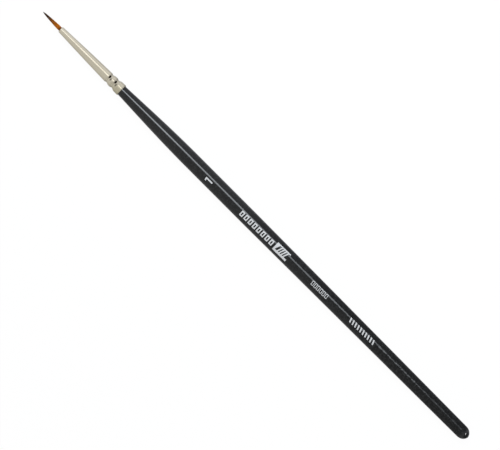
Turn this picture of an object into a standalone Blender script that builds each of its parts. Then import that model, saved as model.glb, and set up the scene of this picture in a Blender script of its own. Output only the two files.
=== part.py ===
"""Fine round detail brush: lacquered wooden handle, crimped metal ferrule and a small hair tuft.

Frame: the brush lies along X with its tuft towards +X, and rests on Z = 0.
The origin is under the middle of its length. A station is a distance from the tuft's point,
measured towards the handle's butt. Round pieces are turned about the brush's axis.
"""

import math

import bpy

MM = 0.001

# Overall length and the stations where pieces begin and end
LENGTH = 200.0 * MM
MOUTH = 8.35 * MM           # front edge of the ferrule: the hair stands out this far
FERRULE_REAR = 37.0 * MM    # rear edge of the ferrule's collar
LACQUER_FRONT = 35.5 * MM   # the coat runs a little way into the collar
SWELL_END = 70.0 * MM       # the handle reaches its full diameter
TAPER_START = 98.0 * MM     # the full diameter ends, and a straight taper begins
BUTT_START = 196.4 * MM     # the rounded butt begins

# Radii
NECK_R = 1.845 * MM         # handle where it leaves the ferrule
HANDLE_R = 2.825 * MM       # thickest part of the handle
BUTT_R = 2.295 * MM         # end of the straight taper
MOUTH_R = 1.095 * MM        # outside of the ferrule at its mouth
MOUTH_BORE_R = 0.77 * MM    # the rolled mouth that grips the hair
COLLAR_BORE_R = 1.88 * MM   # opened out to take the lacquered neck
HAIR_R = 0.73 * MM          # hair bundle

# Ferrule: the taper ends at the first roll station, then the wall is rolled in and out
TAPER_SWELL = 0.05 * MM     # how far the taper bulges outside a straight cone
ROLLS = (                   # station and outer radius of each crimp groove, ridge and collar edge
    (30.75 * MM, 1.86 * MM),
    (31.35 * MM, 1.66 * MM),
    (32.65 * MM, 1.97 * MM),
    (33.2 * MM, 1.96 * MM),
    (33.9 * MM, 1.71 * MM),
    (35.3 * MM, 2.12 * MM),
    (36.7 * MM, 2.15 * MM),
    (FERRULE_REAR, 2.07 * MM),
)
WALL = 0.28 * MM
EDGE_ROUND = 0.12 * MM

# Layers and fits. The object is so thin that its fits are hundredths of a millimetre.
LACQUER = 0.12 * MM
FIT = 0.03 * MM
GLUE = 0.10 * MM

# Inside the ferrule
MOUTH_LIP = 0.8 * MM        # length of the narrow bore that grips the hair
LIP_RUNOUT = 1.0 * MM       # and the length over which it opens out
ROOT_END = 18.0 * MM        # inner end of the hair
THREAD_START = 14.3 * MM
THREAD_TURNS = 5
THREAD_R = 0.08 * MM
THREAD_PITCH = 0.20 * MM
RESIN_START = 15.9 * MM
RESIN_END = 20.5 * MM
RESIN_DISH = 0.5 * MM       # depth of the hollow that setting left in its rear face
GLUE_START = 21.6 * MM
TENON_START = 21.95 * MM
TENON_CHAMFER = 0.25 * MM
BORE_STEP = 35.2 * MM       # the bore opens out from here to the lacquer's front edge

# Moving tuft: two pivots in line with the hair, one for each way that it bends
HEEL_PIVOT = MOUTH - HAIR_R - 0.04 * MM
HEEL_END = 6.70 * MM
POINT_PIVOT = 5.98 * MM
TUFT_FULL = 7.0 * MM        # the hair tapers from here to its point
TUFT_TAPER_POWER = 0.5
TIP_R = 0.04 * MM

# Facets around each turned piece. A half-step turn puts a flat facet underneath, and the coat's
# facets are wide enough for the brush to lie still on one.
COAT_STEPS = 28
METAL_STEPS = 40
INNER_STEPS = 24
AXIS_HEIGHT = HANDLE_R * math.cos(math.pi / COAT_STEPS)

COLLECTION = "fine_detail_brush"


# ---------------------------------------------------------------- profiles

def spread(start, end, count):
    """count + 1 evenly spaced values from start to end."""
    return [start + (end - start) * i / count for i in range(count + 1)]


def handle_radius(station):
    """Outside of the lacquered handle between the ferrule and the butt."""
    if station < SWELL_END:
        u = max(0.0, (station - FERRULE_REAR) / (SWELL_END - FERRULE_REAR))
        return NECK_R + (HANDLE_R - NECK_R) * math.sin(math.pi / 2 * u) ** 1.1
    if station < TAPER_START:
        return HANDLE_R
    u = (station - TAPER_START) / (BUTT_START - TAPER_START)
    return HANDLE_R + (BUTT_R - HANDLE_R) * u


def butt_outline(inset):
    """The rounded butt from its shoulder to the axis, inset inside the outer surface."""
    depth, radius = LENGTH - inset - BUTT_START, BUTT_R - inset
    steps = [math.sin(math.pi / 2 * t) for t in spread(0.0, 1.0, 7)]
    return [(radius * (1 - t ** 3) ** (2 / 3), BUTT_START + depth * t) for t in steps]


def handle_outline(start, inset):
    """(radius, station) points along the handle from start to the axis at the butt."""
    front = [(handle_radius(s) - inset, s) for s in [start] + spread(FERRULE_REAR + MM, SWELL_END, 9)]
    return front + [(HANDLE_R - inset, TAPER_START)] + butt_outline(inset)


def ferrule_radius(station):
    """Outside of the ferrule: a slightly barrelled taper, then the rolls joined by half cosines."""
    taper_end, taper_r = ROLLS[0]
    if station <= taper_end:
        u = (station - MOUTH) / (taper_end - MOUTH)
        return MOUTH_R + (taper_r - MOUTH_R) * u + TAPER_SWELL * 4 * u * (1 - u)
    for (s0, r0), (s1, r1) in zip(ROLLS, ROLLS[1:]):
        if station <= s1:
            t = (station - s0) / (s1 - s0)
            return r0 + (r1 - r0) * (1 - math.cos(math.pi * t)) / 2
    return ROLLS[-1][1]


def roll_stations(count, last):
    """Stations along the rolls, count to each roll, as far as last."""
    out = []
    for (s0, _), (s1, _) in zip(ROLLS, ROLLS[1:]):
        out += spread(s0, s1, count)[:-1]
    return [s for s in out if s < last] + [last]


def bore_radius(station):
    return ferrule_radius(station) - WALL


def bore_stations(start, taper_count, roll_count):
    """Stations down the bore from start to the step that clears the lacquer."""
    return spread(start, ROLLS[0][0], taper_count)[:-1] + roll_stations(roll_count, BORE_STEP)


def tuft_radius(station):
    return max(TIP_R, HAIR_R * min(1.0, station / TUFT_FULL) ** TUFT_TAPER_POWER)


# ---------------------------------------------------------------- building tools

def clear_scene():
    for obj in list(bpy.data.objects):
        bpy.data.objects.remove(obj, do_unlink=True)


def material(name, color, roughness, metallic=0.0, coat=0.0):
    mat = bpy.data.materials.new(name)
    mat.use_nodes = True
    shader = mat.node_tree.nodes["Principled BSDF"]
    shader.inputs["Base Color"].default_value = (*color, 1.0)
    shader.inputs["Roughness"].default_value = roughness
    shader.inputs["Metallic"].default_value = metallic
    shader.inputs["Coat Weight"].default_value = coat
    return mat


def empty(name, collection, location, parent=None):
    obj = bpy.data.objects.new(name, None)
    obj.location = location
    obj.parent = parent
    collection.objects.link(obj)
    return obj


def turned(name, outline, steps, mat, pivot, pivot_station, tube=False):
    """Turn (radius, station) points about the brush's axis into a solid riding on the empty pivot.

    The outline runs down the outer side, from the tuft's end to the butt's. A tube's outline
    comes back along its bore and closes. A solid's outline starts and ends on the axis.
    """
    mesh = bpy.data.meshes.new(name)
    verts = [(radius, 0.0, pivot_station - station) for radius, station in outline]
    edges = [(i, i + 1) for i in range(len(verts) - 1)]
    if tube:
        edges.append((len(verts) - 1, 0))
    mesh.from_pydata(verts, edges, [])
    mesh.materials.append(mat)
    obj = bpy.data.objects.new(name, mesh)
    obj.parent = pivot
    obj.rotation_mode = "ZYX"
    obj.rotation_euler = (0.0, math.pi / 2, math.pi / steps)
    screw = obj.modifiers.new("Turn", "SCREW")
    screw.axis = "Z"
    screw.steps = screw.render_steps = steps
    screw.use_merge_vertices = True
    screw.merge_threshold = 0.000001
    screw.use_smooth_shade = True
    pivot.users_collection[0].objects.link(obj)
    return obj


# ---------------------------------------------------------------- handle

def handle_core(mat, axis):
    """Turned hardwood: a tenon shaped to the ferrule's bore, then the body under the lacquer."""
    slack = GLUE + 2 * FIT
    tenon = [(bore_radius(s) - slack, s) for s in bore_stations(TENON_START + TENON_CHAMFER, 2, 3)]
    face = [(0.0, TENON_START), (tenon[0][0] - TENON_CHAMFER, TENON_START)]
    body = handle_outline(LACQUER_FRONT + FIT, LACQUER + FIT)
    return turned("handle_core", face + tenon + body, INNER_STEPS, mat, axis, LENGTH / 2)


def handle_lacquer(mat, axis):
    """The dipped coat: a thin shell over the whole handle behind the tenon, open at the front."""
    outside = handle_outline(LACQUER_FRONT, 0.0)
    inside = handle_outline(LACQUER_FRONT, LACQUER)
    return turned("handle_lacquer", inside[::-1] + outside, COAT_STEPS, mat, axis, LENGTH / 2)


def tenon_glue(mat, axis):
    """Adhesive between the tenon and the bore, with a skin across the tenon's front face."""
    stations = bore_stations(GLUE_START, 2, 3)
    outside = [(bore_radius(s) - FIT, s) for s in stations]
    inside = [(bore_radius(s) - FIT - GLUE, s) for s in stations[1:]]
    pocket_s = TENON_START - FIT
    pocket = [(bore_radius(pocket_s) - FIT - GLUE, pocket_s), (0.0, pocket_s)]
    outline = [(0.0, GLUE_START)] + outside + inside[::-1] + pocket
    return turned("tenon_glue", outline, INNER_STEPS, mat, axis, LENGTH / 2)


# ---------------------------------------------------------------- ferrule and what it holds

def ferrule(mat, axis):
    """Seamless tapered tube with a rolled mouth, two crimps and a collar that takes the neck."""
    turns = spread(0.0, math.pi / 2, 3)
    mouth = [(MOUTH_R - EDGE_ROUND * (1 - math.sin(a)), MOUTH + EDGE_ROUND * (1 - math.cos(a)))
             for a in turns]
    taper = [(ferrule_radius(s), s) for s in spread(MOUTH + 2 * EDGE_ROUND, ROLLS[0][0], 8)[:-1]]
    rolls = [(ferrule_radius(s), s) for s in roll_stations(4, FERRULE_REAR)]
    collar_bore = [(COLLAR_BORE_R, FERRULE_REAR), (COLLAR_BORE_R, LACQUER_FRONT - FIT)]
    bore = [(bore_radius(s), s) for s in bore_stations(MOUTH + MOUTH_LIP + LIP_RUNOUT, 3, 3)]
    lip = [(MOUTH_BORE_R, MOUTH), (MOUTH_BORE_R, MOUTH + MOUTH_LIP)]
    outline = mouth + taper + rolls + collar_bore + bore[::-1] + lip[::-1]
    return turned("ferrule", outline, METAL_STEPS, mat, axis, LENGTH / 2, tube=True)


def resin_plug(mat, axis):
    """Resin that fills the bore round the roots of the hair, with a hollow rear face."""
    socket_r = HAIR_R + FIT
    outer = [(bore_radius(s) - FIT, s) for s in spread(RESIN_START, RESIN_END, 2)]
    rear = [(outer[-1][0] * t, RESIN_END - RESIN_DISH * (1 - t ** 2)) for t in spread(1.0, 0.0, 3)[1:]]
    socket = [(0.0, ROOT_END + FIT), (socket_r, ROOT_END + FIT), (socket_r, RESIN_START)]
    # the socket's floor and the rear face both meet the axis, so the outline starts in the socket
    outline = socket + outer + rear
    return turned("resin_plug", outline, INNER_STEPS, mat, axis, LENGTH / 2)


def binding_thread(mat, axis, collection):
    """Thread tied round the hair's root: a short coil inside the ferrule."""
    coil_r = HAIR_R + FIT + THREAD_R
    points_per_turn = 14
    count = THREAD_TURNS * points_per_turn + 1
    curve = bpy.data.curves.new("binding_thread", "CURVE")
    curve.dimensions = "3D"
    curve.bevel_depth = THREAD_R
    curve.bevel_resolution = 2
    curve.use_fill_caps = True
    spline = curve.splines.new("POLY")
    spline.points.add(count - 1)
    for i, point in enumerate(spline.points):
        turn = i / points_per_turn
        angle = 2 * math.pi * turn
        along = LENGTH / 2 - THREAD_START - THREAD_PITCH * turn
        point.co = (along, coil_r * math.cos(angle), coil_r * math.sin(angle), 1.0)
    curve.materials.append(mat)
    obj = bpy.data.objects.new("binding_thread", curve)
    obj.parent = axis
    collection.objects.link(obj)
    return obj


# ---------------------------------------------------------------- hair

def round_end(pivot_station):
    """A half ball as thick as the hair behind a pivot, from its equator back to the axis."""
    radius = tuft_radius(pivot_station)
    turns = spread(0.0, math.pi / 2, 4)
    return [(radius * math.cos(a), pivot_station + radius * math.sin(a)) for a in turns]


def tuft_root(mat, axis):
    """The part of the hair bundle that is fixed inside the ferrule."""
    front = MOUTH + FIT
    outline = [(0.0, front), (HAIR_R, front), (HAIR_R, ROOT_END), (0.0, ROOT_END)]
    return turned("tuft_root", outline, INNER_STEPS, mat, axis, LENGTH / 2)


def tuft_heel(mat, pivot):
    """The first stretch of free hair, which swings from side to side at the mouth."""
    sides = [(tuft_radius(s), s) for s in (HEEL_END, TUFT_FULL)]
    outline = [(0.0, HEEL_END)] + sides + round_end(HEEL_PIVOT)
    return turned("tuft_heel", outline, INNER_STEPS, mat, pivot, HEEL_PIVOT)


def tuft_point(mat, pivot):
    """The rest of the hair, tapering to a fine point, which also swings up and down."""
    stations = [POINT_PIVOT * t ** 1.5 for t in spread(0.0, 1.0, 8)[:-1]]
    outline = [(0.0, 0.0)] + [(tuft_radius(s), s) for s in stations] + round_end(POINT_PIVOT)
    return turned("tuft_point", outline, INNER_STEPS, mat, pivot, POINT_PIVOT)


# ---------------------------------------------------------------- assembly

def build():
    clear_scene()
    parts = bpy.data.collections.new(COLLECTION)
    bpy.context.scene.collection.children.link(parts)

    wood = material("birch_wood", (0.62, 0.44, 0.25), 0.6)
    lacquer = material("black_lacquer", (0.012, 0.013, 0.015), 0.18, coat=0.6)
    adhesive = material("wood_adhesive", (0.78, 0.70, 0.50), 0.5)
    nickel = material("satin_nickel", (0.66, 0.63, 0.55), 0.32, metallic=1.0)
    resin = material("amber_resin", (0.55, 0.30, 0.08), 0.25)
    thread = material("binding_thread", (0.80, 0.77, 0.70), 0.8)
    filament = material("synthetic_filament", (0.33, 0.12, 0.02), 0.4)

    axis = empty("brush_axis", parts, (0.0, 0.0, AXIS_HEIGHT))
    heel_pivot = empty("heel_pivot", parts, (LENGTH / 2 - HEEL_PIVOT, 0.0, 0.0), axis)
    point_pivot = empty("point_pivot", parts, (HEEL_PIVOT - POINT_PIVOT, 0.0, 0.0), heel_pivot)

    handle_core(wood, axis)
    handle_lacquer(lacquer, axis)
    tenon_glue(adhesive, axis)
    ferrule(nickel, axis)
    resin_plug(resin, axis)
    binding_thread(thread, axis, parts)
    tuft_root(filament, axis)
    tuft_heel(filament, heel_pivot)
    tuft_point(filament, point_pivot)


build()
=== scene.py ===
"""Looks of the fine detail brush: its hair, satin ferrule, black lacquer and white stamped marks.

A station is a distance from the tuft's point along the brush, measured towards the butt.
"""

import math
import random

import bpy
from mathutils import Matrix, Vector


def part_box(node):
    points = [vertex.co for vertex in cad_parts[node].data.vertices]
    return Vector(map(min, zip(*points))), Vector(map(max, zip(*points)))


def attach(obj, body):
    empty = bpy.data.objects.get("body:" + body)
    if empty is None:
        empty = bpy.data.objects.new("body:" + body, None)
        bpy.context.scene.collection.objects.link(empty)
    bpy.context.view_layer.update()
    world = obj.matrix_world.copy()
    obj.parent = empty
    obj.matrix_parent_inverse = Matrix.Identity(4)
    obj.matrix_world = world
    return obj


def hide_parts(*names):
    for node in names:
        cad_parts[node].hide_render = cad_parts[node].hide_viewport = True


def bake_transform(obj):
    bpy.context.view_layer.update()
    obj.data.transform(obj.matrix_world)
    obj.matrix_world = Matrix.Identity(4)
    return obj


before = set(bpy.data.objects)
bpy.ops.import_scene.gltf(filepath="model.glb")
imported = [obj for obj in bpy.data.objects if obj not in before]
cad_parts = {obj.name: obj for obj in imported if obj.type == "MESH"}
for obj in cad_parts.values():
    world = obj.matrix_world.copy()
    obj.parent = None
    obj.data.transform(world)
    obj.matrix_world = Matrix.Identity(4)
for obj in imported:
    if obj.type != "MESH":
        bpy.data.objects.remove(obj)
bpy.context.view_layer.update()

MM = 0.001

# The design's stations and radii, the same as the CAD's
LENGTH = 200.0 * MM
MOUTH = 8.35 * MM
FERRULE_REAR = 37.0 * MM
LACQUER_FRONT = 35.5 * MM
SWELL_END = 70.0 * MM
SWELL_POWER = 1.1
TAPER_START = 98.0 * MM
BUTT_START = 196.4 * MM
NECK_R = 1.845 * MM
HANDLE_R = 2.825 * MM
BUTT_R = 2.295 * MM
LACQUER = 0.12 * MM
MOUTH_R = 1.095 * MM
MOUTH_BORE_R = 0.77 * MM
MOUTH_LIP = 0.8 * MM
LIP_RUNOUT = 1.0 * MM
COLLAR_BORE_R = 1.88 * MM
TAPER_SWELL = 0.05 * MM
BORE_STEP = 35.2 * MM
WALL = 0.28 * MM
EDGE_ROUND = 0.12 * MM
ROLLS = (
    (30.75 * MM, 1.86 * MM),
    (31.35 * MM, 1.66 * MM),
    (32.65 * MM, 1.97 * MM),
    (33.2 * MM, 1.96 * MM),
    (33.9 * MM, 1.71 * MM),
    (35.3 * MM, 2.12 * MM),
    (36.7 * MM, 2.15 * MM),
    (FERRULE_REAR, 2.07 * MM),
)
HAIR_R = 0.73 * MM
ROOT_END = 18.0 * MM
TUFT_FULL = 7.0 * MM
TUFT_TAPER_POWER = 0.5

# Where the brush lies
TIP_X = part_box("tuft_point")[1].x
AXIS_Z = (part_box("ferrule")[0].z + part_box("ferrule")[1].z) / 2

TURN_STEPS = 128


def spread(start, end, count):
    """count + 1 evenly spaced values from start to end."""
    return [start + (end - start) * i / count for i in range(count + 1)]


# ---------------------------------------------------------------- materials

RANGE_SOCKETS = ("From Min", "From Max", "To Min", "To Max")


class Shader:
    """A Principled material and short ways to add the nodes that this scene uses."""

    def __init__(self, name, **constants):
        self.material = bpy.data.materials.new(name)
        self.material.use_nodes = True
        self.tree = self.material.node_tree
        self.surface = self.tree.nodes["Principled BSDF"]
        for socket, value in constants.items():
            self.surface.inputs[socket.replace("_", " ")].default_value = value
        self.place = self.tree.nodes.new("ShaderNodeTexCoord").outputs["Object"]

    def node(self, kind, **settings):
        made = self.tree.nodes.new("ShaderNode" + kind)
        for key, value in settings.items():
            setattr(made, key, value)
        return made

    def link(self, output, target):
        self.tree.links.new(output, target)

    def stretched(self, across, along):
        """Object coordinates scaled to cycles per metre across and along the brush."""
        mapping = self.node("Mapping")
        mapping.inputs["Scale"].default_value = (along, across, across)
        self.link(self.place, mapping.inputs["Vector"])
        return mapping.outputs["Vector"]

    def noise(self, across, along, detail=3.0, distortion=0.0):
        made = self.node("TexNoise")
        made.inputs["Scale"].default_value = 1.0
        made.inputs["Detail"].default_value = detail
        made.inputs["Distortion"].default_value = distortion
        self.link(self.stretched(across, along), made.inputs["Vector"])
        return made.outputs["Fac"]

    def remap(self, value, low, high, to_low=0.0, to_high=1.0):
        made = self.node("MapRange", clamp=True)
        for label, number in zip(RANGE_SOCKETS, (low, high, to_low, to_high)):
            made.inputs[label].default_value = number
        self.link(value, made.inputs["Value"])
        return made.outputs["Result"]

    def math(self, operation, first, second):
        made = self.node("Math", operation=operation)
        for socket, value in zip(made.inputs, (first, second)):
            if isinstance(value, (int, float)):
                socket.default_value = value
            else:
                self.link(value, socket)
        return made.outputs["Value"]

    def ramp(self, value, stops):
        made = self.node("ValToRGB")
        elements = made.color_ramp.elements
        while len(elements) < len(stops):
            elements.new(0.5)
        for element, (position, color) in zip(elements, stops):
            element.position = position
            element.color = (*color, 1.0)
        self.link(value, made.inputs["Fac"])
        return made.outputs["Color"]

    def blend(self, factor, first, second):
        made = self.node("Mix", data_type="RGBA")
        self.link(factor, made.inputs[0])
        for socket, value in zip(made.inputs[6:8], (first, second)):
            if isinstance(value, tuple):
                socket.default_value = (*value, 1.0)
            else:
                self.link(value, socket)
        return made.outputs[2]

    def color(self, output):
        self.link(output, self.surface.inputs["Base Color"])

    def roughness(self, output):
        self.link(output, self.surface.inputs["Roughness"])

    def bump(self, height, depth):
        """Relief of the given depth in metres, added on top of any relief already there."""
        made = self.node("Bump")
        made.inputs["Distance"].default_value = depth
        self.link(height, made.inputs["Height"])
        normal = self.surface.inputs["Normal"]
        if normal.is_linked:
            self.link(normal.links[0].from_socket, made.inputs["Normal"])
        self.link(made.outputs["Normal"], normal)


BUTT_RELIEF = 0.00009           # metres of unevenness in the lacquer at the butt
RELIEF_SPAN = (-0.06, 0.0)      # it fades out between these places along the brush


def lacquer_material():
    """Dipped black gloss: faint orange peel, waviness, dust and nibs, least even at the butt."""
    s = Shader("black_lacquer", Specular_IOR_Level=0.5)
    tone = s.noise(300, 40, detail=4)
    base = s.ramp(tone, [(0.3, (0.0003, 0.0006, 0.0008)), (0.7, (0.0020, 0.0025, 0.0028))])
    dust = s.remap(s.noise(1700, 1700, detail=2), 0.48, 0.74)
    s.color(s.blend(dust, base, (0.015, 0.016, 0.016)))
    s.roughness(s.remap(s.noise(900, 260, detail=5), 0.3, 0.7, 0.07, 0.12))
    s.bump(s.noise(1300, 800, detail=2), 0.0000015)
    s.bump(s.noise(260, 45, detail=1), 0.00001)
    split = s.node("SeparateXYZ")
    s.link(s.place, split.inputs[0])
    at_butt = s.remap(split.outputs["X"], *RELIEF_SPAN, 1.0, 0.0)
    s.bump(s.math("MULTIPLY", s.noise(900, 600, detail=2), at_butt), BUTT_RELIEF)
    nibs = s.node("TexVoronoi")
    s.link(s.stretched(700, 500), nibs.inputs["Vector"])
    nibs.inputs["Scale"].default_value = 1.0
    s.bump(s.remap(nibs.outputs["Distance"], 0.0, 0.06, 1.0, 0.0), 0.000005)
    return s.material


def nickel_material():
    """Satin nickel: warm grey, drawn lengthways, with painted shade that makes the collar's far
    side darker and yellower, and painted dark reflections in the nicks.
    """
    s = Shader("satin_nickel", Metallic=1.0)
    cloud = s.noise(420, 90, detail=4)
    base = s.ramp(cloud, [(0.3, (0.76, 0.70, 0.55)), (0.7, (0.83, 0.77, 0.62))])
    draw_marks = s.noise(5200, 55, detail=3)
    base = s.blend(s.remap(draw_marks, 0.42, 0.72, 0.0, 0.35), base, (0.50, 0.45, 0.34))
    # Painted shade: the collar's far side is darkened and yellowed, standing in for a dim, warm
    # reflection.
    collar_shade = s.node("Attribute", attribute_name="collar_shade").outputs["Fac"]
    base = s.blend(collar_shade, base, (0.50, 0.46, 0.28))
    # Painted reflection: the nicks are darkened as if their walls mirrored a dark part of the room.
    dark_reflection = s.node("Attribute", attribute_name="dark_reflection").outputs["Fac"]
    s.color(s.blend(dark_reflection, base, (0.012, 0.008, 0.005)))
    rough = s.remap(s.noise(900, 7000, detail=4), 0.3, 0.7, 0.20, 0.27)
    s.roughness(s.math("ADD", rough, s.math("MULTIPLY", dark_reflection, 0.35)))
    s.bump(s.noise(500, 26000, detail=2), 0.0000006)
    s.bump(draw_marks, 0.0000010)
    return s.material


def filament_material():
    """Synthetic hair: orange with a dark dipped point and painted shade where it enters the
    ferrule, each strand a little different.
    """
    s = Shader("synthetic_filament", Specular_IOR_Level=0.15)
    along = s.node("Attribute", attribute_name="along").outputs["Fac"]
    strand = s.node("Attribute", attribute_name="strand").outputs["Fac"]
    shifted = s.math("ADD", along, s.remap(strand, 0.0, 1.0, -0.03, 0.03))
    base = s.ramp(shifted, [
        (0.00, (0.026, 0.018, 0.013)),
        (0.26, (0.045, 0.022, 0.008)),
        (0.36, (0.080, 0.029, 0.004)),
        (0.52, (0.300, 0.085, 0.003)),
        (0.80, (0.620, 0.180, 0.006)),
        (0.88, (0.600, 0.172, 0.005)),
        # painted shade: the strands darken where they go into the ferrule's mouth
        (0.98, (0.160, 0.045, 0.002)),
    ])
    s.color(s.blend(s.remap(strand, 0.0, 1.0, 0.0, 0.35), base, (0.16, 0.045, 0.002)))
    s.roughness(s.remap(s.noise(30000, 2500, detail=2), 0.3, 0.7, 0.40, 0.55))
    s.bump(s.noise(60000, 5000, detail=2), 0.0000008)
    return s.material


def print_material():
    """White stamping foil: bright, nearly matt, thinner in tiny specks."""
    s = Shader("white_print", Specular_IOR_Level=0.3)
    specks = s.noise(9000, 9000, detail=3)
    s.color(s.ramp(specks, [(0.30, (0.42, 0.43, 0.43)), (0.42, (0.70, 0.71, 0.71))]))
    s.roughness(s.remap(s.noise(4000, 4000), 0.3, 0.7, 0.38, 0.55))
    s.bump(specks, 0.000002)
    return s.material


def wood_material():
    """Turned birch: long grain with fine pores."""
    s = Shader("birch_wood", Specular_IOR_Level=0.3)
    grain = s.noise(1500, 45, detail=6, distortion=0.6)
    s.color(s.ramp(grain, [(0.3, (0.50, 0.34, 0.18)), (0.7, (0.70, 0.52, 0.32))]))
    s.roughness(s.remap(grain, 0.3, 0.7, 0.5, 0.7))
    s.bump(s.noise(6000, 400, detail=4), 0.00001)
    return s.material


def set_resin_material(name, dark, light, rough):
    """A cast resin or glue: cloudy colour, a soft gloss and a slightly rippled skin."""
    s = Shader(name, Specular_IOR_Level=0.5)
    cloud = s.noise(1200, 1200, detail=4)
    s.color(s.ramp(cloud, [(0.3, dark), (0.7, light)]))
    s.roughness(s.remap(cloud, 0.3, 0.7, rough, rough + 0.15))
    s.bump(s.noise(2500, 2500, detail=2), 0.00001)
    return s.material


def thread_material():
    """Undyed thread: uneven fibres and a slight sheen."""
    s = Shader("binding_thread", Specular_IOR_Level=0.2, Sheen_Weight=0.3)
    plies = s.noise(20000, 9000, detail=4, distortion=1.0)
    s.color(s.ramp(plies, [(0.3, (0.58, 0.54, 0.46)), (0.7, (0.82, 0.79, 0.71))]))
    s.roughness(s.remap(plies, 0.3, 0.7, 0.75, 0.92))
    s.bump(plies, 0.00001)
    return s.material


# ---------------------------------------------------------------- outlines

def handle_radius(station):
    if station < SWELL_END:
        u = max(0.0, (station - FERRULE_REAR) / (SWELL_END - FERRULE_REAR))
        return NECK_R + (HANDLE_R - NECK_R) * math.sin(math.pi / 2 * u) ** SWELL_POWER
    if station < TAPER_START:
        return HANDLE_R
    u = (station - TAPER_START) / (BUTT_START - TAPER_START)
    return HANDLE_R + (BUTT_R - HANDLE_R) * u


def butt_outline(inset, count):
    """The dome at the butt, blunter than half an ellipse."""
    depth, radius = LENGTH - inset - BUTT_START, BUTT_R - inset
    steps = [math.sin(math.pi / 2 * t) for t in spread(0.0, 1.0, count)]
    return [(radius * (1 - t ** 3) ** (2 / 3), BUTT_START + depth * t) for t in steps]


def handle_outline(inset, count, butt_count):
    stations = [LACQUER_FRONT] + spread(FERRULE_REAR, SWELL_END, count)
    stations += spread(TAPER_START, BUTT_START, count)[:-1]
    return [(handle_radius(s) - inset, s) for s in stations] + butt_outline(inset, butt_count)


def ferrule_radius(station):
    taper_end, taper_r = ROLLS[0]
    if station <= taper_end:
        u = (station - MOUTH) / (taper_end - MOUTH)
        return MOUTH_R + (taper_r - MOUTH_R) * u + TAPER_SWELL * 4 * u * (1 - u)
    for (s0, r0), (s1, r1) in zip(ROLLS, ROLLS[1:]):
        if station <= s1:
            t = (station - s0) / (s1 - s0)
            return r0 + (r1 - r0) * (1 - math.cos(math.pi * t)) / 2
    return ROLLS[-1][1]


def roll_stations(count, last):
    out = []
    for (s0, _), (s1, _) in zip(ROLLS, ROLLS[1:]):
        out += spread(s0, s1, count)[:-1]
    return [s for s in out if s < last] + [last]


def tuft_radius(station):
    return HAIR_R * min(1.0, station / TUFT_FULL) ** TUFT_TAPER_POWER


# ---------------------------------------------------------------- pieces

def new_object(name, verts, faces, mat, sharp_deg=40.0):
    mesh = bpy.data.meshes.new(name)
    mesh.from_pydata(verts, [], faces)
    mesh.materials.append(mat)
    mesh.shade_smooth()
    mesh.set_sharp_from_angle(angle=math.radians(sharp_deg))
    obj = bpy.data.objects.new(name, mesh)
    bpy.context.scene.collection.objects.link(obj)
    return obj


def lathe(name, outline, mat, tube=False, dent=None):
    """Turns (radius, station) points about the brush's axis. A solid's ends lie on the axis.

    dent gives how far the surface is pressed in at a station and a turn from the top.
    """
    turns = [2 * math.pi * k / TURN_STEPS for k in range(TURN_STEPS)]
    verts, rings = [], []
    for radius, station in outline:
        if radius < 1e-9:
            rings.append([len(verts)] * TURN_STEPS)
            verts.append((TIP_X - station, 0.0, AXIS_Z))
            continue
        rings.append(list(range(len(verts), len(verts) + TURN_STEPS)))
        for turn in turns:
            r = radius - (dent(station, turn) if dent else 0.0)
            verts.append((TIP_X - station, r * math.sin(turn), AXIS_Z + r * math.cos(turn)))
    pairs = list(zip(rings, rings[1:]))
    if tube:
        pairs.append((rings[-1], rings[0]))
    faces = []
    for here, there in pairs:
        for k in range(TURN_STEPS):
            n = (k + 1) % TURN_STEPS
            corners = [here[k], here[n], there[n], there[k]]
            faces.append(list(dict.fromkeys(corners)))
    return new_object(name, verts, faces, mat)


def set_attribute(obj, label, values):
    obj.data.attributes.new(label, "FLOAT", "POINT").data.foreach_set("value", values)


def make_handle(mat):
    inside = handle_outline(LACQUER, 6, 6)
    outside = handle_outline(0.0, 60, 24)
    shell = lathe("lacquer_coat", inside[::-1] + outside, mat)
    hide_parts("handle_lacquer")
    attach(shell, "brush_body")
    return shell


COLLAR_SHADE_SPAN = (32.5 * MM, 35.5 * MM)     # the plating yellows between these stations
COLLAR_SHADE_SHARE = 0.6                  # painted shade, darker and yellower, between these stations and this much on the far side, none on the near side
DARK_REFLECTION_SPREAD = 1.6                        # above 1, the painted dark reflection also covers a nick's shallow rim
NICK_SHARPNESS = 1.5                     # above 1, a nick's rim is soft and its middle narrow

# Nicks that the crimping rolls left.
# Each is a station, turn from the top, half length, half turn, depth and share of painted dark
# reflection.
NICKS = (
    (31.25 * MM, math.radians(-18), 0.42 * MM, math.radians(25), 0.09 * MM, 1.0),
    (32.00 * MM, math.radians(0), 0.32 * MM, math.radians(18), 0.02 * MM, 0.68),
    (33.84 * MM, math.radians(-20), 0.42 * MM, math.radians(25), 0.09 * MM, 1.0),
    (34.52 * MM, math.radians(4), 0.36 * MM, math.radians(20), 0.02 * MM, 0.62),
)


def nick_reach(station, turn, nick):
    """1 in the middle of a nick, falling to 0 at its rim."""
    turn = (turn + math.pi) % (2 * math.pi) - math.pi
    away = ((station - nick[0]) / nick[2]) ** 2 + ((turn - nick[1]) / nick[3]) ** 2
    return max(0.0, 1 - away)


def nick_depth(station, turn):
    return sum(nick[4] * nick_reach(station, turn, nick) ** NICK_SHARPNESS for nick in NICKS)


# How much painted dark reflection darkens a point, spread over the nick's rim.
def nick_dark_reflection(station, turn):
    return max(nick[5] * min(1.0, DARK_REFLECTION_SPREAD * nick_reach(station, turn, nick)) for nick in NICKS)


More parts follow.
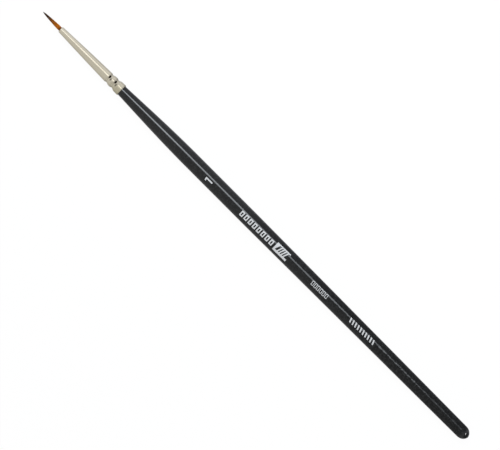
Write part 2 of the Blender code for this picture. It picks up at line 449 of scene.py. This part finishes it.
def make_ferrule(mat):
    turns = [math.radians(a) for a in spread(0.0, 90.0, 8)]
    mouth = [(MOUTH_R - EDGE_ROUND * (1 - math.sin(a)), MOUTH + EDGE_ROUND * (1 - math.cos(a)))
             for a in turns]
    taper = [(ferrule_radius(s), s) for s in spread(MOUTH + 2 * EDGE_ROUND, ROLLS[0][0], 40)[:-1]]
    rolls = [(ferrule_radius(s), s) for s in roll_stations(16, FERRULE_REAR)]
    collar_bore = [(COLLAR_BORE_R, FERRULE_REAR), (COLLAR_BORE_R, LACQUER_FRONT)]
    bore_taper = spread(MOUTH + MOUTH_LIP + LIP_RUNOUT, ROLLS[0][0], 6)[:-1]
    bore = [(ferrule_radius(s) - WALL, s) for s in bore_taper + roll_stations(4, BORE_STEP)]
    lip = [(MOUTH_BORE_R, MOUTH), (MOUTH_BORE_R, MOUTH + MOUTH_LIP)]
    outline = mouth + taper + rolls + collar_bore + bore[::-1] + lip[::-1]
    outer = len(mouth + taper + rolls) * TURN_STEPS
    tube = lathe("crimped_ferrule", outline, mat, tube=True, dent=nick_depth)
    # Painted dark reflection in the nicks and painted shade on the collar's far side.
    dark_reflection, collar_shade = [], []
    for index, vertex in enumerate(tube.data.vertices):
        station = TIP_X - vertex.co.x
        turn = math.atan2(vertex.co.y, vertex.co.z - AXIS_Z)
        dark_reflection.append(nick_dark_reflection(station, turn) if index < outer else 0.0)
        # Painted shade on the collar, growing towards the rear and towards the far side.
        back = min(1.0, max(0.0, (station - COLLAR_SHADE_SPAN[0]) / (COLLAR_SHADE_SPAN[1] - COLLAR_SHADE_SPAN[0])))
        collar_shade.append(COLLAR_SHADE_SHARE * back * (0.5 + 0.5 * math.sin(turn)))
    set_attribute(tube, "dark_reflection", dark_reflection)
    set_attribute(tube, "collar_shade", collar_shade)
    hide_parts("ferrule")
    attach(tube, "brush_body")
    return tube


# ---------------------------------------------------------------- hair

HAIRS = 420
SEED = 7
STRAND_R = 0.033 * MM
STRAND_SIDES = 6
STRAND_TIP_SHARE = 0.35      # a strand's thickness at its end, beside its full thickness
OUTER_SHORTFALL = 0.75 * MM  # how much earlier the outermost strands end than the middle ones
END_SCATTER = 0.30 * MM
ANGLE_SCATTER = 0.15
SWAY = 0.012 * MM            # each strand wanders sideways by up to this much
SWAY_RATE = 900              # radians per metre
TWIST = 0.5                  # and round the bundle by up to this many radians at its point
POINT_LENGTH = 4.5 * MM      # each strand tapers over this length to its own end
GOLDEN = math.pi * (3 - math.sqrt(5))
SPLIT = 6.68 * MM            # the hair's two pieces meet here, between the bends
INSIDE_STATIONS = (ROOT_END, 13.0 * MM, 9.4 * MM)    # the strands' rings inside the ferrule


def strand_plan(index, rng):
    """Where a strand sits in the bundle, and where it ends."""
    share = math.sqrt((index + 0.5) / HAIRS)
    return {
        "share": share,
        "angle": index * GOLDEN + rng.uniform(-ANGLE_SCATTER, ANGLE_SCATTER),
        "end": OUTER_SHORTFALL * share ** 3 + rng.uniform(0.0, END_SCATTER) * (0.1 + share),
        "sway": rng.uniform(-1.0, 1.0) * SWAY,
        "phase": rng.uniform(0.0, 2 * math.pi),
        "tone": rng.random(),
    }


def strand_centre(plan, station):
    """The strand's centre line at a station, as (y, z) from the brush's axis."""
    reach = plan["share"] * max(tuft_radius(station) - strand_radius(plan, station), 0.0)
    free = max(0.0, 1 - station / MOUTH)
    wave = plan["sway"] * free * math.sin(plan["phase"] + SWAY_RATE * station)
    angle = plan["angle"] + TWIST * free * math.sin(plan["phase"])
    return (reach + wave) * math.cos(angle), (reach + wave) * math.sin(angle)


def strand_radius(plan, station):
    t = min(1.0, (station - plan["end"]) / POINT_LENGTH)
    return STRAND_R * (STRAND_TIP_SHARE + (1 - STRAND_TIP_SHARE) * t)


def hair_piece(name, mat, plans, stations_of):
    """Strands as tapered six-sided rods through the stations that stations_of gives for each."""
    verts, faces, along, tone = [], [], [], []
    for plan in plans:
        stations = stations_of(plan)
        first = len(verts)
        for station in stations:
            y, z = strand_centre(plan, station)
            r = strand_radius(plan, station)
            for k in range(STRAND_SIDES):
                a = 2 * math.pi * k / STRAND_SIDES
                verts.append((TIP_X - station, y + r * math.sin(a), AXIS_Z + z + r * math.cos(a)))
                along.append(station / MOUTH)
                tone.append(plan["tone"])
        for ring in range(len(stations) - 1):
            low = first + ring * STRAND_SIDES
            for k in range(STRAND_SIDES):
                n = (k + 1) % STRAND_SIDES
                faces.append((low + k, low + k + STRAND_SIDES, low + n + STRAND_SIDES, low + n))
        last = first + (len(stations) - 1) * STRAND_SIDES
        faces.append(tuple(first + k for k in range(STRAND_SIDES)))
        faces.append(tuple(last + k for k in reversed(range(STRAND_SIDES))))
    obj = new_object(name, verts, faces, mat, sharp_deg=75.0)
    set_attribute(obj, "along", along)
    set_attribute(obj, "strand", tone)
    return obj


def make_hair(mat):
    rng = random.Random(SEED)
    plans = [strand_plan(i, rng) for i in range(HAIRS)]
    heel_stations = [*INSIDE_STATIONS, *spread(MOUTH, SPLIT, 7)]
    heel = hair_piece("hair_heel", mat, plans, lambda plan: heel_stations)
    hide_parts("tuft_root", "tuft_heel")
    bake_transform(heel)

    point = hair_piece("hair_point", mat, plans, lambda plan: spread(SPLIT, plan["end"], 14))
    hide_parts("tuft_point")
    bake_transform(point)


# ---------------------------------------------------------------- stamped marks

PRINT_TURN = math.radians(12.5)     # how far the print's centre line is turned from the top
PRINT_STRAIGHT = 94.0 * MM          # behind this station it drifts back to the top
PRINT_ON_TOP = 150.0 * MM
PRINT_PROUD = 0.012 * MM
PRINT_SUNK = 0.004 * MM


def print_turn(station):
    left = (PRINT_ON_TOP - station) / (PRINT_ON_TOP - PRINT_STRAIGHT)
    return PRINT_TURN * min(1.0, max(0.0, left))


def on_handle(station, across, lift):
    """A point on the handle. across is the arc length from the print's centre line."""
    radius = handle_radius(station)
    turn = print_turn(station) - across / radius
    reach = radius + lift
    return (TIP_X - station, reach * math.sin(turn), AXIS_Z + reach * math.cos(turn))


class Stamp:
    """Thin closed slabs that follow the handle, gathered into one piece of print."""

    def __init__(self):
        self.verts, self.faces = [], []

    def sheet(self, grid, closed):
        """A slab over rows of (station, across) points. closed joins each row's ends."""
        first = len(self.verts)
        rows, count = len(grid), len(grid[0])
        layer = rows * count
        for lift in (PRINT_PROUD, -PRINT_SUNK):
            self.verts += [on_handle(s, a, lift) for row in grid for s, a in row]

        def corner(r, k):
            return first + r * count + k % count

        steps = count if closed else count - 1
        for r in range(rows - 1):
            for k in range(steps):
                top = (corner(r, k), corner(r, k + 1), corner(r + 1, k + 1), corner(r + 1, k))
                self.faces.append(top)
                self.faces.append(tuple(v + layer for v in reversed(top)))
        for k in range(steps):
            self.wall(corner(0, k + 1), corner(0, k), layer)
            self.wall(corner(rows - 1, k), corner(rows - 1, k + 1), layer)
        if not closed:
            for r in range(rows - 1):
                self.wall(corner(r, 0), corner(r + 1, 0), layer)
                self.wall(corner(r + 1, count - 1), corner(r, count - 1), layer)

    def wall(self, a, b, layer):
        self.faces.append((a, b, b + layer, a + layer))

    def quad(self, corners, steps=8):
        """A filled four-cornered shape."""
        (s0, a0), (s1, a1), (s2, a2), (s3, a3) = corners
        grid = []
        for u in spread(0.0, 1.0, steps):
            start = (s0 + (s3 - s0) * u, a0 + (a3 - a0) * u)
            end = (s1 + (s2 - s1) * u, a1 + (a2 - a1) * u)
            grid.append([(start[0] + (end[0] - start[0]) * v, start[1] + (end[1] - start[1]) * v)
                         for v in spread(0.0, 1.0, steps)])
        self.sheet(grid, closed=False)

    def bar(self, station, across, length, height, slant=0.0):
        """A filled stroke. slant moves its upper edge towards the butt and its lower edge away."""
        self.quad(rectangle(station, across, length, height, slant))

    def frame(self, station, across, length, height, stroke, slant=0.0):
        """An open four-sided frame."""
        outer = side_points(rectangle(station, across, length, height, slant), 8)
        inner = side_points(rectangle(station, across, length - 2 * stroke, height - 2 * stroke,
                                      slant * (1 - 2 * stroke / height)), 8)
        grid = [[(s0 + (s1 - s0) * t, a0 + (a1 - a0) * t)
                 for (s0, a0), (s1, a1) in zip(outer, inner)]
                for t in (0.0, 0.5, 1.0)]
        self.sheet(grid, closed=True)

    def place(self, name, mat):
        obj = new_object(name, self.verts, self.faces, mat)
        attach(obj, "brush_body")


def rectangle(station, across, length, height, slant=0.0):
    half_l, half_h = length / 2, height / 2
    front, back = station - half_l, station + half_l
    return [(front + slant, across + half_h), (front - slant, across - half_h),
            (back - slant, across - half_h), (back + slant, across + half_h)]


def side_points(corners, per_side):
    """Evenly spaced points along the straight sides of a closed outline."""
    points = []
    for (s0, a0), (s1, a1) in zip(corners, corners[1:] + corners[:1]):
        points += [(s0 + (s1 - s0) * i / per_side, a0 + (a1 - a0) * i / per_side)
                   for i in range(per_side)]
    return points


def make_numeral(mat):
    """The size numeral 1, standing along the brush with its top towards the tuft."""
    top, foot = 77.35 * MM, 80.25 * MM
    left, right = -0.15 * MM, 0.34 * MM
    flag_tip, flag_drop, flag_width = -0.82 * MM, 0.24 * MM, 0.50 * MM
    numeral = Stamp()
    numeral.quad([(top, right), (top, left), (foot, left), (foot, right)])
    numeral.quad([(top, left), (top + flag_drop, flag_tip),
                  (top + flag_drop + flag_width, flag_tip), (top + flag_width, left)])
    numeral.place("mark_numeral", mat)


def make_frames(mat):
    """A row of eight open frames."""
    row = Stamp()
    for station in spread(94.4 * MM, 107.9 * MM, 7):
        row.frame(station, 0.0, 1.36 * MM, 1.98 * MM, 0.43 * MM)
    row.place("mark_frames", mat)


def make_block(mat):
    """A block with slanting dark slots left open between its two borders."""
    station, across, length, height = 112.5 * MM, 0.1 * MM, 6.0 * MM, 3.2 * MM
    upper, lower, slot_slant = 0.42 * MM, 0.80 * MM, 0.35 * MM
    front_border, bar_width = 0.65 * MM, 0.46 * MM
    first_bar, last_bar = station - 0.95 * MM, station + 1.75 * MM
    block = Stamp()
    block.bar(station, across + (height - upper) / 2, length, upper)
    block.bar(station, across - (height - lower) / 2, length, lower)
    middle = height - upper - lower
    middle_across = across + (lower - upper) / 2
    front = station - length / 2
    block.quad([(front, middle_across + middle / 2), (front, middle_across - middle / 2),
                (front + front_border, middle_across - middle / 2),
                (front + front_border + 2 * slot_slant, middle_across + middle / 2)])
    for bar_station in spread(first_bar, last_bar, 3):
        block.bar(bar_station, middle_across, bar_width, middle, slant=slot_slant)
    block.place("mark_block", mat)


def make_small_frames(mat):
    """A row of six thin open frames."""
    row = Stamp()
    for station in spread(127.2 * MM, 133.4 * MM, 5):
        row.frame(station, 0.0, 0.92 * MM, 1.62 * MM, 0.19 * MM, slant=-0.08 * MM)
    row.place("mark_small_frames", mat)


def make_strokes(mat):
    """A row of slanting strokes."""
    row = Stamp()
    for station in spread(144.7 * MM, 155.2 * MM, 9):
        row.bar(station, 0.0, 0.50 * MM, 1.6 * MM, slant=-0.28 * MM)
    row.place("mark_strokes", mat)


# ---------------------------------------------------------------- studio

VIEW_WIDTH = 166.25 * MM            # how much of the brush's plane the frame's width takes in
VIEW_TURN = math.radians(-134.94)   # puts the tuft up and to the left
VIEW_AIM = (-1.81 * MM, -0.14 * MM)   # the frame's middle, to the right of and above the brush's
LENS = 150.0
SENSOR = 36.0

KEY_REACH = 0.5                     # metres from the brush to the key panels
KEY_LEAN = math.radians(24.0)       # how far they stand to the brush's side
KEY_FRONT = 0.26                    # the panels' two ends along the brush
KEY_BACK = -0.19
KEY_WIDTH = 0.235
KEY_RADIANCE = 7.6                  # for the lacquer, the hair and the print
NICKEL_RADIANCE = 1.0               # for the bright ferrule alone, which would burn out
# How the key panels dim towards the butt: place along the brush, share of full brightness
KEY_FADE = ((-0.19, 0.05), (-0.145, 0.14), (-0.127, 0.15), (-0.112, 0.38), (-0.075, 0.50),
            (-0.045, 0.42), (-0.02, 0.46), (0.015, 0.72), (0.065, 0.74), (0.095, 1.0))
KEY_TINT = (0.94, 1.0, 1.06)        # the lacquer's reflection is slightly blue

# A third panel, low on the key's side, for the near side of the ferrule
FILL_RADIANCE = 0.16
FILL_LEAN = math.radians(75.0)
FILL_WIDTH = 0.25

# The room's brightness on the brush's far side and on the key's side
FAR_AIR = (0.66, 0.66, 0.66)
NEAR_AIR = (0.73, 0.74, 0.78)
# How each side dims towards the butt: direction along the brush, share of full brightness
FAR_FADE = ((-0.82, 0.3), (-0.68, 1.0), (-0.45, 1.0), (-0.25, 0.70), (-0.14, 0.46), (-0.09, 0.63),
            (-0.05, 0.82), (0.06, 0.90), (0.09, 1.0))
NEAR_FADE = ((-0.82, 0.3), (-0.68, 1.0), (-0.50, 1.0), (-0.28, 0.38), (-0.06, 0.40), (-0.03, 0.64),
             (0.01, 0.87), (0.05, 0.92), (0.17, 1.0))
UNDER_SHARE = 0.86                  # what comes from below the horizon, beside that from above
HORIZON_BLUR = (-0.1, 0.1)          # upward direction over which that change takes place
SIDE_BLUR = (-0.35, 0.15)           # sideways direction over which the two sides meet

FLOOR_HALF = 3.0
FLOOR_Z = -0.02 * MM                # just clear of the handle, rounder than the CAD's

# A low lamp behind the butt, whose reflection is the small bright dot on the butt's dome
BUTT_LAMP = (-0.50, -0.12, 0.28)
BUTT_LAMP_WIDTH = 0.22
BUTT_LAMP_HEIGHT = 0.08
BUTT_LAMP_RADIANCE = 18.0


def make_camera():
    """Straight down on the brush, which runs across the frame's diagonal."""
    right = (math.cos(VIEW_TURN), math.sin(VIEW_TURN))
    up = (-math.sin(VIEW_TURN), math.cos(VIEW_TURN))
    data = bpy.data.cameras.new("camera")
    data.lens, data.sensor_width = LENS, SENSOR
    data.clip_start, data.clip_end = 0.01, 20.0
    obj = bpy.data.objects.new("camera", data)
    height = VIEW_WIDTH / 2 / (SENSOR / 2 / LENS)
    x, y = (right[i] * VIEW_AIM[0] + up[i] * VIEW_AIM[1] for i in range(2))
    obj.location = (x, y, AXIS_Z + height)
    obj.rotation_euler = (0.0, 0.0, VIEW_TURN)
    bpy.context.scene.collection.objects.link(obj)
    bpy.context.scene.camera = obj


def fade_ramp(tree, value, stops):
    """A number that follows the stops: places from 0 to 1 and shares of full brightness."""
    ramp = tree.nodes.new("ShaderNodeValToRGB")
    elements = ramp.color_ramp.elements
    while len(elements) < len(stops):
        elements.new(0.5)
    for element, (place, share) in zip(elements, stops):
        element.position = place
        element.color = (share, share, share, 1.0)
    tree.links.new(value, ramp.inputs["Fac"])
    return ramp.outputs["Color"]


def key_panel(name, radiance, lean=KEY_LEAN, tilt=-KEY_LEAN, width=KEY_WIDTH):
    """A soft panel beside and above the brush that dims towards the butt.

    It faces the brush if tilt is the same as lean, and looks narrower as tilt turns away.
    """
    length = KEY_FRONT - KEY_BACK
    data = bpy.data.lights.new(name, "AREA")
    data.shape = "RECTANGLE"
    data.size, data.size_y = length, width
    data.energy = radiance * math.pi * length * width
    data.use_nodes = True
    tree = data.node_tree
    split = tree.nodes.new("ShaderNodeSeparateXYZ")
    tree.links.new(tree.nodes.new("ShaderNodeNewGeometry").outputs["Parametric"], split.inputs[0])
    stops = [((x - KEY_BACK) / length, share) for x, share in KEY_FADE]
    fade = fade_ramp(tree, split.outputs["X"], stops)
    tree.links.new(fade, tree.nodes["Emission"].inputs["Strength"])
    obj = bpy.data.objects.new(name, data)
    obj.location = ((KEY_FRONT + KEY_BACK) / 2, -KEY_REACH * math.sin(lean),
                    KEY_REACH * math.cos(lean))
    obj.rotation_euler = (tilt, 0.0, 0.0)
    obj.visible_camera = False
    bpy.context.scene.collection.objects.link(obj)
    return obj


def butt_lamp():
    """A wide, low lamp that faces the butt."""
    data = bpy.data.lights.new("butt_lamp", "AREA")
    data.shape = "RECTANGLE"
    data.size, data.size_y = BUTT_LAMP_WIDTH, BUTT_LAMP_HEIGHT
    data.energy = BUTT_LAMP_RADIANCE * math.pi * BUTT_LAMP_WIDTH * BUTT_LAMP_HEIGHT
    obj = bpy.data.objects.new("butt_lamp", data)
    obj.location = BUTT_LAMP
    to_butt = Vector((TIP_X - LENGTH, 0.0, AXIS_Z)) - Vector(BUTT_LAMP)
    obj.rotation_euler = to_butt.to_track_quat("-Z", "Y").to_euler()
    obj.visible_camera = False
    bpy.context.scene.collection.objects.link(obj)
    return obj


def share_light(light, objects, state):
    """Light linking: state INCLUDE lights only these objects, EXCLUDE all but these."""
    group = bpy.data.collections.new(light.name + "_objects")
    for obj in objects:
        group.objects.link(obj)
    for entry in group.collection_objects:
        entry.light_linking.link_state = state
    light.light_linking.receiver_collection = group


def make_room():
    """A bright room, slightly cooler on the key's side, that dims towards the butt and below."""
    world = bpy.data.worlds.new("studio")
    bpy.context.scene.world = world
    world.use_nodes = True
    tree = world.node_tree
    split = tree.nodes.new("ShaderNodeSeparateXYZ")
    tree.links.new(tree.nodes.new("ShaderNodeTexCoord").outputs["Generated"], split.inputs[0])

    def remap(socket, low, high, to_low, to_high):
        made = tree.nodes.new("ShaderNodeMapRange")
        for label, number in zip(RANGE_SOCKETS, (low, high, to_low, to_high)):
            made.inputs[label].default_value = number
        tree.links.new(socket, made.inputs["Value"])
        return made.outputs["Result"]

    def mixed(blend_type, factor, first, second):
        made = tree.nodes.new("ShaderNodeMix")
        made.data_type, made.blend_type = "RGBA", blend_type
        inputs = (made.inputs[0], made.inputs[6], made.inputs[7])
        for socket, value in zip(inputs, (factor, first, second)):
            if isinstance(value, bpy.types.NodeSocket):
                tree.links.new(value, socket)
            else:
                socket.default_value = value
        return made.outputs[2]

    place = remap(split.outputs["X"], -1.0, 1.0, 0.0, 1.0)
    sides = []
    for air, fade in ((FAR_AIR, FAR_FADE), (NEAR_AIR, NEAR_FADE)):
        share = fade_ramp(tree, place, [((x + 1) / 2, value) for x, value in fade])
        sides.append(mixed("MULTIPLY", 1.0, share, (*air, 1.0)))
    nearness = remap(split.outputs["Y"], *SIDE_BLUR, 1.0, 0.0)
    background = tree.nodes["Background"]
    tree.links.new(mixed("MIX", nearness, *sides), background.inputs["Color"])
    strength = remap(split.outputs["Z"], *HORIZON_BLUR, UNDER_SHARE, 1.0)
    tree.links.new(strength, background.inputs["Strength"])


def make_lights(coat, ferrule):
    make_room()
    key = key_panel("key_panel", KEY_RADIANCE)
    key.data.color = KEY_TINT
    share_light(key, [ferrule], "EXCLUDE")
    share_light(key_panel("nickel_panel", NICKEL_RADIANCE), [ferrule], "INCLUDE")
    fill = key_panel("nickel_fill", FILL_RADIANCE, FILL_LEAN, FILL_LEAN, FILL_WIDTH)
    share_light(fill, [ferrule], "INCLUDE")
    share_light(butt_lamp(), [coat], "INCLUDE")


def make_floor():
    """A white table lit from within, so that shadows stay faint."""
    half, z = FLOOR_HALF, FLOOR_Z
    verts = [(-half, -half, z), (half, -half, z), (half, half, z), (-half, half, z)]
    s = Shader("white_table", Base_Color=(0.04, 0.04, 0.04, 1.0), Roughness=0.9,
               Specular_IOR_Level=0.0, Emission_Strength=0.965, Emission_Color=(1.0, 1.0, 1.0, 1.0))
    floor = new_object("floor", verts, [(0, 1, 2, 3)], s.material)
    floor.visible_glossy = False


def finish_cad_nodes():
    """The pieces hidden inside keep their CAD shapes and get their own materials."""
    finishes = {
        "handle_core": wood_material(),
        "tenon_glue": set_resin_material("wood_adhesive",
                                         (0.66, 0.56, 0.36), (0.82, 0.74, 0.55), 0.4),
        "resin_plug": set_resin_material("amber_resin",
                                         (0.42, 0.20, 0.05), (0.62, 0.34, 0.10), 0.12),
        "binding_thread": thread_material(),
    }
    for node, mat in finishes.items():
        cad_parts[node].material_slots[0].material = mat


def make_brush():
    coat = make_handle(lacquer_material())
    make_hair(filament_material())
    white = print_material()
    for make in (make_numeral, make_frames, make_block, make_small_frames, make_strokes):
        make(white)
    return coat, make_ferrule(nickel_material())


make_camera()
make_floor()
finish_cad_nodes()
make_lights(*make_brush())
bpy.context.scene.view_settings.view_transform = "Standard"
